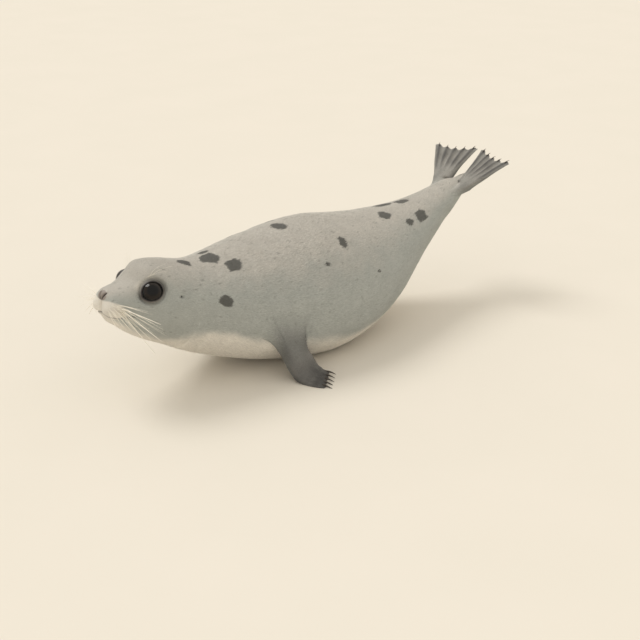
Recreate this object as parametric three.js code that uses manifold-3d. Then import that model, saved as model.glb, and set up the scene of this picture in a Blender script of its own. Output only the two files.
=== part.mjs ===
// A harbour seal (Phoca vitulina) at life size, hauled out on its belly with head and hind flippers raised.
// Millimetres, +Z up. The nose points to -Y and the animal's left side is +X.
// The origin is on the floor, in the middle of the belly's flat, under the greatest girth.
import * as THREE from 'three';
import { mergeVertices } from 'three/addons/utils/BufferGeometryUtils.js';
import Module from 'manifold-3d';

const wasm = await Module();
wasm.setup();

// ---------------------------------------------------------------- driving dimensions
const clearance = 0.3; // between neighbouring pieces
const girthAt = 640; // distance from the nose, along the spine, of the greatest girth
const girthSpineHeight = 156; // height of the spine over the floor there
const softness = { body: 11, flipper: 3 }; // how gradually flesh flattens against the floor
const bodyColumns = 30; // facets round the body

// Profile of the stretched-out animal: distance from the nose along the spine,
// reach above the spine, reach below it, and half width.
const profile = [
  [0, 0, 0, 0],
  [1.5, 13, -15, 17],
  [6, 24, -29, 31],
  [15, 32, -45, 43],
  [29, 37, -58, 50],
  [47, 43, -72, 55],
  [67, 57, -86, 62],
  [90, 77, -99, 74],
  [115, 92, -111, 88],
  [142, 97, -122, 98],
  [172, 95, -132, 103],
  [205, 91, -141, 107],
  [242, 91, -150, 114],
  [285, 100, -159, 127],
  [340, 121, -166, 147],
  [405, 145, -172, 171],
  [480, 168, -178, 196],
  [560, 189, -182, 213],
  [640, 203, -182, 219],
  [722, 204, -170, 215],
  [804, 190, -151, 202],
  [886, 164, -133, 180],
  [968, 129, -117, 150],
  [1050, 93, -104, 118],
  [1127, 66, -89, 90],
  [1193, 50, -71, 71],
  [1248, 41, -56, 59],
  [1288, 35, -42, 50],
  [1316, 28, -31, 42],
  [1336, 19, -21, 33],
  [1352, 14, -15, 26],
  [1368, 12, -12, 22],
  [1381, 9, -9, 17],
  [1389, 5, -5, 10],
  [1392, 0, 0, 0],
];

// The lower half of the trunk is fuller than an ellipse, easing in and out between these distances.
const fullBelly = { amount: 0.16, from: [260, 460], to: [860, 1100] };

// Pitch of the spine, in degrees, walking from nose to tail: each bend eases from one pitch to the next.
const headPitch = -8;
const spineBends = [
  { from: 140, to: 265, turn: -8.5 }, // nape
  { from: 280, to: 560, turn: 6 }, // shoulders
  { from: 530, to: 980, turn: 31 }, // loins, lifting the rump
];

// Soft forms of the face: centre [x, distance from nose, height over spine], reach on each axis, height.
// A form with x > 0 is on both sides.
const faceForms = [
  { at: [27, 14, -13], reach: [20, 22, 19], height: 12 }, // whisker pad
  { at: [0, 2, -12], reach: [4.5, 16, 15], height: -5 }, // groove under the nose
  { at: [0, 1, 19], reach: [17, 13, 11], height: 4 }, // nose
  { at: [0, 16, -53], reach: [24, 22, 15], height: 4 }, // chin
  { at: [0, 64, 54], reach: [24, 22, 18], height: -4 }, // dip of the bridge
  { at: [47, 70, 10], reach: [18, 18, 20], height: -6 }, // hollow before the eye
  { at: [42, 114, 78], reach: [24, 22, 18], height: 4 }, // brow
  { at: [92, 140, -30], reach: [30, 38, 36], height: 4 }, // cheek
  { at: [97, 172, 22], reach: [7, 7, 7], height: -4 }, // ear opening
];

// Pieces of the face, in head coordinates like faceForms.
const eye = { centre: [56, 110, 27], radii: [31, 31, 31], facets: [16, 10] };
const nose = { centre: [0, 2, 19], radii: [17, 16, 13], facets: [12, 8] };
const whiskerPad = { centre: [26, 19, -12], radii: [26, 28, 22], facets: [12, 8] };
const mouth = {
  corner: 66, // distance from the nose
  heights: [-25, -33, -34, -29], // over the spine, from the front of the lips to the corner
  jawEnd: 88, // distance from the nose of the back of the lower jaw
};

// Lengths of the trunk: name, and the distances from the nose between which it lies.
const trunkLengths = [
  ['head', 0, 215],
  ['neck', 215, 330],
  ['chest', 330, 560],
  ['belly', 560, 800],
  ['loins', 800, 1030],
  ['rump', 1030, 1336],
  ['tail', 1336, 1392],
];

const digits = 5;

// Fore flipper: path from inside the chest to the longest digit's tip, as [out from the midline, back from
// the root, height over the floor], with half width and half thickness on the way.
const fore = {
  rootAt: 462, // distance from the nose
  path: [
    { out: 126, back: -4, up: 108, half: 43, thick: 27 },
    { out: 166, back: 6, up: 86, half: 44, thick: 24 },
    { out: 198, back: 17, up: 52, half: 43, thick: 18.5 },
    { out: 221, back: 27, up: 20, half: 44, thick: 15 },
    { out: 243, back: 38, up: 7.5, half: 46, thick: 11.5 },
    { out: 263, back: 50, up: 4, half: 48, thick: 8 },
    { out: 281, back: 61, up: 2.5, half: 45, thick: 6 },
  ],
  digitReach: { middle: 0.91, slope: 0.07, crescent: 0, scallop: 0.02 },
  web: 0.35, // how much thinner the skin is between two digits
  claw: { length: 30, radius: 3.6, shown: 20, splay: 0.16, lift: 1.5 },
};

// Hind flipper: path from inside the rump, as [out, back, up] from the spine at its root.
const hind = {
  rootAt: 1250,
  path: [
    { out: 14, back: -12, up: -8, half: 30, thick: 26 },
    { out: 30, back: 22, up: 11, half: 28, thick: 22 },
    { out: 44, back: 54, up: 32, half: 29, thick: 16 },
    { out: 55, back: 83, up: 55, half: 39, thick: 12 },
    { out: 66, back: 111, up: 79, half: 53, thick: 9 },
    { out: 75, back: 139, up: 101, half: 66, thick: 6.5 },
    { out: 83, back: 165, up: 121, half: 79, thick: 4.5 },
  ],
  roll: 8, // degrees that the outer edge is raised
  digitReach: { middle: 0.91, slope: 0, crescent: 0.07, scallop: 0.02 },
  web: 0.5,
  claw: { length: 17, radius: 2, shown: 10, splay: 0.3, lift: 2 },
};

// ---------------------------------------------------------------- curves
const smooth = (x, from, to) => {
  const t = Math.min(1, Math.max(0, (x - from) / (to - from)));
  return t * t * (3 - 2 * t);
};

// Catmull-Rom through evenly numbered values; t counts the values.
function through(values, t) {
  const last = values.length - 1;
  const i = Math.min(last - 1, Math.max(0, Math.floor(t)));
  const f = t - i;
  const a = values[i];
  const b = values[i + 1];
  const before = i > 0 ? values[i - 1] : 2 * a - b;
  const after = i + 1 < last ? values[i + 2] : 2 * b - a;
  const ta = (b - before) / 2;
  const tb = (after - a) / 2;
  return (2 * a - 2 * b + ta + tb) * f ** 3 + (3 * b - 3 * a - 2 * ta - tb) * f ** 2 + ta * f + a;
}

const columnOf = (rows, name) => rows.map((row) => row[name]);
const [alongs, tops, bottoms, halves] = [0, 1, 2, 3].map((k) => columnOf(profile, k));
const lastStation = profile.length - 1;
const bodyLong = alongs[lastStation];

// Station number of a distance from the nose.
function stationOf(distance) {
  let low = 0;
  let high = lastStation;
  for (let n = 0; n < 40; n++) {
    const middle = (low + high) / 2;
    if (through(alongs, middle) < distance) low = middle;
    else high = middle;
  }
  return (low + high) / 2;
}

// ---------------------------------------------------------------- pose
function pitchAt(s) {
  const turned = spineBends.reduce((sum, bend) => sum + bend.turn * smooth(s, bend.from, bend.to), headPitch);
  return THREE.MathUtils.degToRad(turned);
}

// The spine walked in millimetre steps, as [y, z] from the nose.
const spineSteps = [[0, 0]];
for (let s = 0; s < bodyLong + 20; s++) {
  const [y, z] = spineSteps[s];
  const pitch = pitchAt(s + 0.5);
  spineSteps.push([y + Math.cos(pitch), z + Math.sin(pitch)]);
}

function spineAt(s) {
  const i = Math.min(spineSteps.length - 2, Math.max(0, Math.floor(s)));
  const f = s - i;
  return [0, 1].map((k) => spineSteps[i][k] * (1 - f) + spineSteps[i + 1][k] * f);
}

const girthPlace = spineAt(girthAt);

// A point of the stretched-out animal, [x, distance from nose, height over spine], put in the pose.
function posed([x, s, v]) {
  const [y, z] = spineAt(s);
  const pitch = pitchAt(s);
  return new THREE.Vector3(
    x,
    y - girthPlace[0] - v * Math.sin(pitch),
    z - girthPlace[1] + girthSpineHeight + v * Math.cos(pitch),
  );
}

// Flesh under the floor is pressed flat at its level, and rounds into it softly.
function pressed(point, soft) {
  const { z } = point;
  if (z < -soft) point.z = 0;
  else if (z < soft) point.z = (z + soft) ** 2 / (4 * soft);
  return point;
}

// ---------------------------------------------------------------- body surface
// The section is an ellipse with its own top and bottom; the angle starts at the back's midline.
function smoothBody(t, angle) {
  const s = through(alongs, t);
  const { amount, from, to } = fullBelly;
  const power = Math.cos(angle) < 0 ? 1 - amount * smooth(s, ...from) * (1 - smooth(s, ...to)) : 1;
  const up = Math.sign(Math.cos(angle)) * Math.abs(Math.cos(angle)) ** power;
  const side = Math.sign(Math.sin(angle)) * Math.abs(Math.sin(angle)) ** power;
  return [through(halves, t) * side, s, (up < 0 ? -through(bottoms, t) : through(tops, t)) * up];
}

function outwardAt(t, angle) {
  const step = 0.02;
  const at = (u, a) => new THREE.Vector3(...smoothBody(u, a));
  const along = at(t + step, angle).sub(at(Math.max(step, t - step), angle));
  const clearOfPole = Math.max(0.05, t);
  const round = at(clearOfPole, angle + step).sub(at(clearOfPole, angle - step));
  return round.cross(along).normalize();
}

// How far the soft forms of the face stand out at a point of the smooth body.
function faceHeight(point) {
  let height = 0;
  for (const form of faceForms) {
    for (const side of form.at[0] > 0 ? [1, -1] : [1]) {
      const centre = [side * form.at[0], form.at[1], form.at[2]];
      const far = centre.reduce((sum, c, k) => sum + ((point[k] - c) / form.reach[k]) ** 2, 0);
      height += form.height * Math.exp(-far);
    }
  }
  return height;
}

function bodyPoint(t, angle, grow) {
  const base = smoothBody(t, angle);
  const out = outwardAt(t, angle).multiplyScalar(faceHeight(base) + grow);
  return pressed(posed([base[0] + out.x, base[1] + out.y, base[2] + out.z]), softness.body);
}

// ---------------------------------------------------------------- meshes and solids
// Rings of points, all with the same count and running the same way, skinned into one closed body.
// A ring of one point is a pole; an open end is closed across from side to side.
function skinned(rings) {
  const starts = [];
  let total = 0;
  for (const ring of rings) {
    starts.push(total);
    total += ring.length;
  }
  const count = Math.max(...rings.map((ring) => ring.length));
  const faces = [];
  for (let i = 0; i + 1 < rings.length; i++) {
    const [a, b] = [starts[i], starts[i + 1]];
    for (let j = 0; j < count; j++) {
      const k = (j + 1) % count;
      if (rings[i].length === 1) faces.push([a, b + k, b + j]);
      else if (rings[i + 1].length === 1) faces.push([a + j, a + k, b]);
      else faces.push([a + j, a + k, b + k], [a + j, b + k, b + j]);
    }
  }
  for (const end of [0, rings.length - 1]) {
    if (rings[end].length > 1) faces.push(...acrossRing(starts[end], count, end === 0));
  }
  const geometry = new THREE.BufferGeometry();
  const coordinates = rings.flat().flatMap((point) => point.toArray());
  geometry.setAttribute('position', new THREE.Float32BufferAttribute(coordinates, 3));
  geometry.setIndex(faces.flat());
  return geometry;
}

// The faces that close a ring, running across it between its two sides.
function acrossRing(start, count, turned) {
  const faces = [];
  for (let j = 0; j < count / 2 - 1; j++) {
    const [a, b, c, d] = [j, j + 1, count - j - 2, count - j - 1].map((n) => start + n);
    faces.push([a, b, d]);
    if (b !== c) faces.push([b, c, d]);
  }
  return turned ? faces.map((face) => face.reverse()) : faces;
}

// A closed geometry as a solid; one that is inside out is turned.
function solidOf(geometry) {
  const plain = new THREE.BufferGeometry();
  plain.setAttribute('position', geometry.getAttribute('position'));
  plain.setIndex(geometry.getIndex());
  const merged = mergeVertices(plain, 1e-3);
  const vertProperties = new Float32Array(merged.getAttribute('position').array);
  const corners = Array.from(merged.getIndex().array);
  const build = (list) =>
    new wasm.Manifold(new wasm.Mesh({ numProp: 3, vertProperties, triVerts: new Uint32Array(list) }));
  const solid = build(corners);
  return solid.volume() > 0 ? solid : build(corners.reverse());
}

function geometryOf(solid) {
  const { numVert, numProp, vertProperties, triVerts } = solid.getMesh();
  const points = new Float32Array(numVert * 3);
  for (let i = 0; i < numVert; i++) {
    points.set(vertProperties.subarray(i * numProp, i * numProp + 3), i * 3);
  }
  const geometry = new THREE.BufferGeometry();
  geometry.setAttribute('position', new THREE.BufferAttribute(points, 3));
  geometry.setIndex(new THREE.BufferAttribute(triVerts, 1));
  return geometry;
}

const largest = (solid) => solid.decompose().sort((a, b) => b.volume() - a.volume())[0];

// Moves every point of a geometry made in head coordinates into the pose.
function posedGeometry(geometry) {
  const place = geometry.getAttribute('position');
  for (let i = 0; i < place.count; i++) {
    const point = posed([place.getX(i), place.getY(i), place.getZ(i)]);
    place.setXYZ(i, point.x, point.y, point.z);
  }
  return geometry;
}

// ---------------------------------------------------------------- trunk
function bodyRing(t, grow) {
  if (t <= 0) return [bodyPoint(0, 0, grow)];
  if (t >= lastStation) return [posed([0, bodyLong + grow, 0])];
  return Array.from({ length: bodyColumns }, (_, j) => bodyPoint(t, (2 * Math.PI * j) / bodyColumns, grow));
}

// Body between two distances from the nose, skinned through its stations; grow swells it.
function bodyLength(from, to, ringsPerStation, grow = 0) {
  const nearest = 0.2; // stations between an end and the next ring
  const start = from <= 0 ? 0 : stationOf(from);
  const end = to >= bodyLong ? lastStation : stationOf(to);
  const stops = [start];
  for (let n = Math.floor(start * ringsPerStation + 1); n / ringsPerStation < end - nearest; n++) {
    if (n / ringsPerStation > start + nearest) stops.push(n / ringsPerStation);
  }
  stops.push(end);
  return solidOf(skinned(stops.map((t) => bodyRing(t, grow))));
}

const pieces = new Map();
for (const [name, from, to] of trunkLengths) {
  const front = from > 0 ? from + clearance / 2 : from;
  const back = to < bodyLong ? to - clearance / 2 : to;
  pieces.set(name, bodyLength(front, back, name === 'head' ? 2 : 1));
}

// ---------------------------------------------------------------- face
// An ellipsoid on the left (1), right (-1) or middle (0) of the head.
function ellipsoid({ centre, radii, facets }, side, grow) {
  const ball = new THREE.SphereGeometry(1, ...facets);
  ball.scale(...radii.map((radius) => radius + grow));
  ball.translate(side * centre[0], centre[1], centre[2]);
  return solidOf(posedGeometry(ball));
}

// Everything under the line of the mouth, from in front of the lips to behind the corner.
function jawBlock(shrink) {
  const wide = 90;
  const [ahead, below] = [-30, -140];
  const steps = 6;
  const outline = [[ahead, below], [ahead, mouth.heights[0] - shrink]];
  for (let i = 0; i <= steps; i++) {
    const height = through(mouth.heights, (i / steps) * (mouth.heights.length - 1));
    outline.push([(i / steps) * mouth.corner - (i === steps ? shrink : 0), height - shrink]);
  }
  outline.push([mouth.jawEnd - shrink, below]);
  const shape = new THREE.Shape(outline.map(([s, v]) => new THREE.Vector2(s, v)));
  const block = new THREE.ExtrudeGeometry(shape, { depth: 2 * wide, bevelEnabled: false });
  block.translate(0, 0, -wide);
  const place = block.getAttribute('position');
  for (let i = 0; i < place.count; i++) place.setXYZ(i, place.getZ(i), place.getX(i), place.getY(i));
  return solidOf(posedGeometry(block));
}

let skull = pieces.get('head');
function carve(name, inner, outer) {
  pieces.set(name, largest(skull.intersect(inner)));
  skull = largest(skull.subtract(outer));
}

const sides = [['left', 1], ['right', -1]];
for (const [side, sign] of sides) {
  pieces.set(`${side}_eye`, ellipsoid(eye, sign, 0));
  skull = skull.subtract(ellipsoid(eye, sign, clearance));
}
carve('nose', ellipsoid(nose, 0, 0), ellipsoid(nose, 0, clearance));
carve('lower_jaw', jawBlock(clearance), jawBlock(0));
for (const [side, sign] of sides) {
  carve(`${side}_whisker_pad`, ellipsoid(whiskerPad, sign, 0), ellipsoid(whiskerPad, sign, clearance));
}
pieces.set('head', skull);

// ---------------------------------------------------------------- flippers
// Across a flipper q runs from -1, the rear or inner edge, to 1. The digits lie at even steps of q, and the
// rings have a point on every digit and every web.
const across = [1, 0.93, 0.8, 0.6, 0.4, 0.2, 0, -0.2, -0.4, -0.6, -0.8, -0.93, -1];
const digitStep = 0.4;
const digitAt = (n) => (n - (digits - 1) / 2) * digitStep;
const digitWave = (q) => Math.cos((2 * Math.PI * q) / digitStep);

// A flipper is a path with a width axis and a thickness, like a hand in a mitten.
function flipperShape(path, widthAxis, { digitReach, web }) {
  const { middle, slope, crescent, scallop } = digitReach;
  const value = (name, u) => through(columnOf(path, name), u * (path.length - 1));
  const centre = (u) => new THREE.Vector3(value('x', u), value('y', u), value('z', u));
  const reach = (q) => middle + slope * q + crescent * q * q + scallop * digitWave(q);
  const frame = (u) => {
    const along = centre(Math.min(1, u + 0.02)).sub(centre(Math.max(0, u - 0.02))).normalize();
    const wide = widthAxis.clone().addScaledVector(along, -widthAxis.dot(along)).normalize();
    const over = wide.clone().cross(along);
    return { along, wide, over: over.z < 0 ? over.negate() : over };
  };
  // A point at u along the path, q across it and side over (1) or under (-1) its middle.
  const point = (u, q, side) => {
    const fingers = smooth(u, 0.45, 0.85);
    const reached = u * (1 - fingers + fingers * reach(q));
    const { wide, over } = frame(reached);
    const ridge = 1 - fingers * web * (0.5 - 0.5 * digitWave(q));
    const tip = 0.4 + 0.6 * smooth(1 - u, 0, 0.09);
    const thick = value('thick', reached) * (1 - q * q) ** 0.3 * ridge * tip;
    const across = q * value('half', reached);
    return centre(reached).addScaledVector(wide, across).addScaledVector(over, side * thick);
  };
  return { point, frame, centre, value, reach };
}

function flipperSolid(shape) {
  const rows = 9;
  const rings = [];
  for (let i = 0; i <= rows; i++) {
    const u = 1 - (1 - i / rows) ** 1.25;
    const over = across.map((q) => shape.point(u, q, 1));
    const under = across.slice(1, -1).reverse().map((q) => shape.point(u, q, -1));
    rings.push([...over, ...under].map((place) => pressed(place, softness.flipper)));
  }
  return solidOf(skinned(rings));
}

// A curved, pointed cone that leaves a digit's tip; it stays just clear of the floor.
function clawSolid(shape, q, size, grow) {
  const turns = 3;
  const round = 6;
  const root = shape.reach(q);
  const { along, wide, over } = shape.frame(root);
  const tip = shape.centre(root).addScaledVector(wide, q * shape.value('half', root));
  const splayed = along.clone().addScaledVector(wide, size.splay * q).normalize();
  const rings = [];
  for (let i = 0; i <= turns; i++) {
    const f = i / turns;
    const radius = size.radius * (1 - f) ** 0.6;
    const arched = size.length * (0.12 * Math.sin(Math.PI * (0.15 + 0.85 * f)) - 0.1 * f);
    const middle = tip
      .clone()
      .addScaledVector(splayed, f * size.length - (size.length - size.shown))
      .addScaledVector(over, size.lift + arched);
    pressed(middle, softness.flipper);
    middle.z = Math.max(middle.z, radius + clearance);
    const ring = Array.from({ length: round }, (_, j) => {
      const angle = (2 * Math.PI * j) / round;
      return middle
        .clone()
        .addScaledVector(wide, 0.75 * (radius + grow) * Math.cos(angle))
        .addScaledVector(over, (radius + grow) * Math.sin(angle));
    });
    rings.push(i === turns && grow === 0 ? [middle] : ring);
  }
  return solidOf(skinned(rings));
}

// One flipper, cut clear of the body, and its claws, set into it.
function addFlipper(name, path, widthAxis, limb, body) {
  const shape = flipperShape(path, widthAxis, limb);
  let solid = largest(flipperSolid(shape).subtract(body));
  for (let n = 0; n < digits; n++) {
    solid = largest(solid.subtract(clawSolid(shape, digitAt(n), limb.claw, clearance)));
    pieces.set(`${name}_claw_${n + 1}`, clawSolid(shape, digitAt(n), limb.claw, 0));
  }
  pieces.set(`${name}_flipper`, solid);
}

const chestGrown = bodyLength(300, 820, 1, clearance);
const rumpGrown = bodyLength(1000, bodyLong, 1, clearance);
const foreRoot = posed([0, fore.rootAt, 0]);
const hindRoot = posed([0, hind.rootAt, 0]);
const roll = THREE.MathUtils.degToRad(hind.roll);

for (const [side, sign] of sides) {
  const forePath = fore.path.map((row) => ({
    ...row,
    x: sign * row.out,
    y: foreRoot.y + row.back,
    z: row.up,
  }));
  addFlipper(`${side}_fore`, forePath, new THREE.Vector3(0, -1, 0), fore, chestGrown);
  const hindPath = hind.path.map((row) => ({
    ...row,
    x: sign * row.out,
    y: hindRoot.y + row.back,
    z: hindRoot.z + row.up,
  }));
  const outward = new THREE.Vector3(sign * Math.cos(roll), 0, Math.sin(roll));
  addFlipper(`${side}_hind`, hindPath, outward, hind, rumpGrown);
}

// ---------------------------------------------------------------- scene graph
const finish = (color, roughness) => new THREE.MeshStandardMaterial({ color, roughness, metalness: 0 });
const coat = finish(0x9b988d, 0.8);
const paleCoat = finish(0xd8d0c2, 0.8);
const noseSkin = finish(0x4a4744, 0.5);
const flipperCoat = finish(0x6b6965, 0.75);
const eyeball = finish(0x17181a, 0.08);
const horn = finish(0x2b2825, 0.4);

function finishOf(name) {
  if (name.includes('claw')) return horn;
  if (name.includes('flipper')) return flipperCoat;
  if (name.includes('eye')) return eyeball;
  if (name.includes('pad')) return paleCoat;
  return name === 'nose' ? noseSkin : coat;
}

const seal = new THREE.Group();
for (const [name, solid] of pieces) {
  const mesh = new THREE.Mesh(geometryOf(solid), finishOf(name));
  mesh.name = name;
  seal.add(mesh);
}

export default seal;
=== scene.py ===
import math

import bpy
import numpy as np
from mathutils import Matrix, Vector


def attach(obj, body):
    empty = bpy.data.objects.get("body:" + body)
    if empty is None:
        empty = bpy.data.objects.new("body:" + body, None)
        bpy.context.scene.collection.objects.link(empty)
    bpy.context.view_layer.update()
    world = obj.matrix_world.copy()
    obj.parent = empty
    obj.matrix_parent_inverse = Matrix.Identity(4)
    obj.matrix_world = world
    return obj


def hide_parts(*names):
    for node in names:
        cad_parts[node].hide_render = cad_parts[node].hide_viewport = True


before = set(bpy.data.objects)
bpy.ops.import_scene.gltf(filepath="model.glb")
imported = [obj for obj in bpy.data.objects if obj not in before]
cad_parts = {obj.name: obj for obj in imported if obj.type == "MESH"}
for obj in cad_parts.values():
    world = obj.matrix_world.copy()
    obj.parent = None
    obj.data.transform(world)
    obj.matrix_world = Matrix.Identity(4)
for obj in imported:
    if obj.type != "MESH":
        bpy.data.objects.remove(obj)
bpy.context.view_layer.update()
metre = 0.001
print("frame loaded:", len(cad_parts), "solids")


# small maths, all on whole arrays
def smooth(x, low, high):
    # 0 under low, 1 over high, an S between them
    f = np.clip((x - low) / (high - low), 0, 1)
    return f * f * (3 - 2 * f)


def bell(x, centre, width):
    # 1 at the centre, and 1 / e a width away from it
    return np.exp(-(((x - centre) / width) ** 2))


def unit(v):
    return v / np.maximum(np.linalg.norm(v, axis=-1, keepdims=True), 1e-9)


def dot(a, b):
    return (a * b).sum(-1, keepdims=True)


def through(values, t):
    # Catmull-Rom curve through evenly numbered values
    values = np.asarray(values, float)
    padded = np.concatenate([[2 * values[0] - values[1]], values, [2 * values[-1] - values[-2]]])
    i = np.clip(np.floor(t).astype(int), 0, len(values) - 2)
    f = t - i
    before, a, b, after = (padded[i + k] for k in range(4))
    ta, tb = (b - before) / 2, (after - a) / 2
    return (2 * a - 2 * b + ta + tb) * f**3 + (3 * b - 3 * a - 2 * ta - tb) * f**2 + ta * f + a


def between(s, pairs):
    # straight lines between pairs of a distance from the nose and a value
    return np.interp(s, *np.array(pairs, float).T)


def blobs(points, forms):
    # sum of bells in space, each a centre, its reach on three axes and its height; x > 0 is on both sides
    total = np.zeros(points.shape[:-1])
    for centre, reach, height in forms:
        for side in (1, -1) if centre[0] > 0 else (1,):
            far = ((points - np.array(centre) * (side, 1, 1)) / reach) ** 2
            total += height * np.exp(-far.sum(-1))
    return total


def ripple(points, wavelength, seed):
    # smooth noise from -1 to 1: the mean of seven plane waves in seeded directions
    rng = np.random.default_rng(seed)
    waves = unit(rng.normal(size=(7, 3))) * (2 * math.pi / wavelength)
    waves *= rng.uniform(0.7, 1.4, (7, 1))
    phases = rng.uniform(0, 2 * math.pi, 7)
    return np.sin(points @ waves.T + phases).sum(-1) / 3.2


# the body, as a curve of sections from nose to tail
trunk = {
    # distance from the nose along the spine, reach above the spine, reach below it, half width
    "profile": [
        [0, 0, 0, 0], [1.5, 13, -15, 17], [6, 24, -29, 31], [15, 32, -45, 43], [29, 37, -58, 50],
        [47, 43, -72, 55], [67, 57, -86, 62], [90, 77, -99, 74], [115, 92, -111, 88],
        [142, 97, -122, 98], [172, 95, -132, 103], [205, 91, -141, 107], [242, 91, -150, 114],
        [285, 100, -159, 127], [340, 121, -166, 147], [405, 145, -172, 171], [480, 168, -178, 196],
        [560, 189, -182, 213], [640, 203, -182, 219], [722, 204, -170, 215], [804, 190, -151, 202],
        [886, 164, -133, 180], [968, 129, -117, 150], [1050, 93, -104, 118], [1127, 66, -89, 90],
        [1193, 50, -71, 71], [1248, 41, -56, 59], [1288, 35, -42, 50], [1316, 28, -31, 42],
        [1336, 19, -21, 33], [1352, 14, -15, 26], [1368, 12, -12, 22], [1381, 9, -9, 17],
        [1389, 5, -5, 10], [1392, 0, 0, 0],
    ],
    # the lower half of the trunk is so much fuller than an ellipse, easing in and out between these distances
    "fullBelly": 0.16, "fullFrom": [260, 460], "fullTo": [860, 1100],
    "headPitch": -8,
    "bends": [[140, 265, -8.5], [280, 560, 6], [530, 980, 31]],  # from, to, degrees
    "girthAt": 640,
    "girthHeight": 156,  # of the spine over the floor
    "softness": 11,  # how gradually the flesh flattens on the floor
    "columns": 224,
    # pairs of a distance from the nose and a value: the step between rings, the coat's depth over the skin,
    # the length and width of its locks, and where round from the back the belly turns pale, and how softly
    "ringSteps": [[0, 1.55], [125, 1.7], [215, 2.6], [330, 4.4], [430, 7.5], [1200, 8], [1250, 5],
                  [1392, 2.6]],
    "coatDepth": [[0, 0.3], [30, 0.4], [70, 0.8], [150, 1.2], [300, 1.8], [450, 2.2], [1250, 2], [1392, 1]],
    "lockLong": [[0, 2.2], [20, 3], [70, 4.2], [130, 5.6], [215, 7], [330, 8.5], [500, 10], [1200, 9.5],
                 [1392, 6]],
    "lockWide": [[0, 0.75], [30, 0.9], [130, 1.25], [215, 1.5], [330, 1.8], [500, 2.1], [1250, 2],
                 [1392, 1.4]],
    "paleFrom": [[0, 141], [60, 146], [140, 147], [200, 138], [260, 124], [330, 114], [560, 114], [700, 118],
                 [900, 124], [1200, 134], [1392, 150]],
    "paleSoft": [[0, 32], [160, 30], [260, 22], [330, 17]],
}
alongs, tops, bottoms, halves = np.array(trunk["profile"], float).T
lastStation = len(alongs) - 1
bodyLong = alongs[-1]


def pitchAt(s):
    # slope of the spine: the head's, and an S-shaped share of each bend
    return np.radians(trunk["headPitch"] + sum(turn * smooth(s, a, b) for a, b, turn in trunk["bends"]))


spineSteps = np.arange(int(bodyLong) + 21)
spineY = np.concatenate([[0], np.cumsum(np.cos(pitchAt(spineSteps + 0.5)))])
spineZ = np.concatenate([[0], np.cumsum(np.sin(pitchAt(spineSteps + 0.5)))])
spineY -= spineY[trunk["girthAt"]]
spineZ += trunk["girthHeight"] - spineZ[trunk["girthAt"]]


def posed(points):
    # the stretched-out animal's [x, s, v] on the bent spine: v stands square to it at distance s
    x, s, v = np.moveaxis(points, -1, 0)
    i = np.clip(np.floor(s).astype(int), 0, len(spineY) - 2)
    f = s - i
    y = spineY[i] * (1 - f) + spineY[i + 1] * f
    z = spineZ[i] * (1 - f) + spineZ[i + 1] * f
    pitch = pitchAt(s)
    return np.stack([x, y - v * np.sin(pitch), z + v * np.cos(pitch)], -1)


def pressed(points, soft):
    # flesh under the floor is flat at its level and rounds into it
    z = points[..., 2]
    rounded = (z + soft) ** 2 / (4 * soft)
    points[..., 2] = np.where(z < -soft, 0, np.where(z < soft, rounded, z))
    return points


def smoothBody(t, angle):
    # ellipse with its own top and bottom at station t; the angle is 0 on the back and a quarter turn at +X
    s = through(alongs, t)
    full = 1 - trunk["fullBelly"] * smooth(s, *trunk["fullFrom"]) * (1 - smooth(s, *trunk["fullTo"]))
    c, d = np.cos(angle), np.sin(angle)
    power = np.where(c < 0, full, 1)
    up = np.sign(c) * np.abs(c) ** power
    side = np.sign(d) * np.abs(d) ** power
    height = np.where(up < 0, -through(bottoms, t), through(tops, t)) * up
    return np.stack([through(halves, t) * side, s, height], -1)


def outwardAt(t, angle):
    # square to the body, from its slopes along and around
    step = 0.02
    ahead = smoothBody(t + step, angle) - smoothBody(np.maximum(step / 2, t - step), angle)
    clear = np.maximum(0.05, t)
    around = smoothBody(clear, angle + step) - smoothBody(clear, angle - step)
    return unit(np.cross(around, ahead))


# the face
# centre [x, distance from nose, height over spine], reach, height
faceForms = [
    ([27, 14, -13], [20, 22, 19], 12),  # whisker pad
    ([0, 2, -12], [4.5, 16, 15], -5),  # groove under the nose
    ([0, 1, 19], [17, 13, 11], 4),  # nose
    ([0, 16, -53], [24, 22, 15], 4),  # chin
    ([0, 64, 54], [24, 22, 18], -4),  # dip of the bridge
    ([47, 70, 10], [18, 18, 20], -6),  # hollow before the eye
    ([42, 114, 78], [24, 22, 18], 4),  # brow
    ([92, 140, -30], [30, 38, 36], 4),  # cheek
    ([97, 172, 22], [7, 7, 7], -4),  # ear opening
]
fineForms = [
    ([100, 172, 22], [2.8, 3.4, 2.8], -5),  # ear hole
    ([100, 165, 23], [4, 3, 7], 1.2),  # rim before it
    ([0, 1, 26], [13, 9, 3], 0.8),  # upper edge of the nose
    ([17, 4, 16], [4, 6, 9], 0.7),  # wing of the nose
    ([0, 108, 92], [9, 40, 14], -1.2),  # furrow of the forehead
    ([72, 132, -20], [16, 18, 5], -1.0),  # crease under the eye
]
folds = {  # distance from the nose, depth
    "throat": [(211, 0.8), (238, 1.3), (276, 0.9)],
    "nape": [(322, 0.5), (352, 0.8), (386, 0.6)],
}
eye = {
    "centre": [56, 110, 27], "radius": 30.8, "looks": [0.77, -0.40, 0.49],
    "corner": [0, -1, -0.30],  # the front corner lies this way
    "opening": [27.2, 24.6],  # half length and half height between the lids
    "cornerDraw": 0.06,  # how far the opening is drawn out at that corner
    "snap": 0.078,  # points this near the opening's edge are moved onto it
    "lid": 1.9, "lidSoft": 3.0, "corneaRise": 1.1,
    "rings": 48, "turns": 64, "rimSteps": 72,
}
nose = {"inner": [3.0, 8], "outer": [11.0, 24], "depth": 6.5, "width": 2.1, "pad": [3, 17, 17.5, 17, 12.5]}
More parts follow.
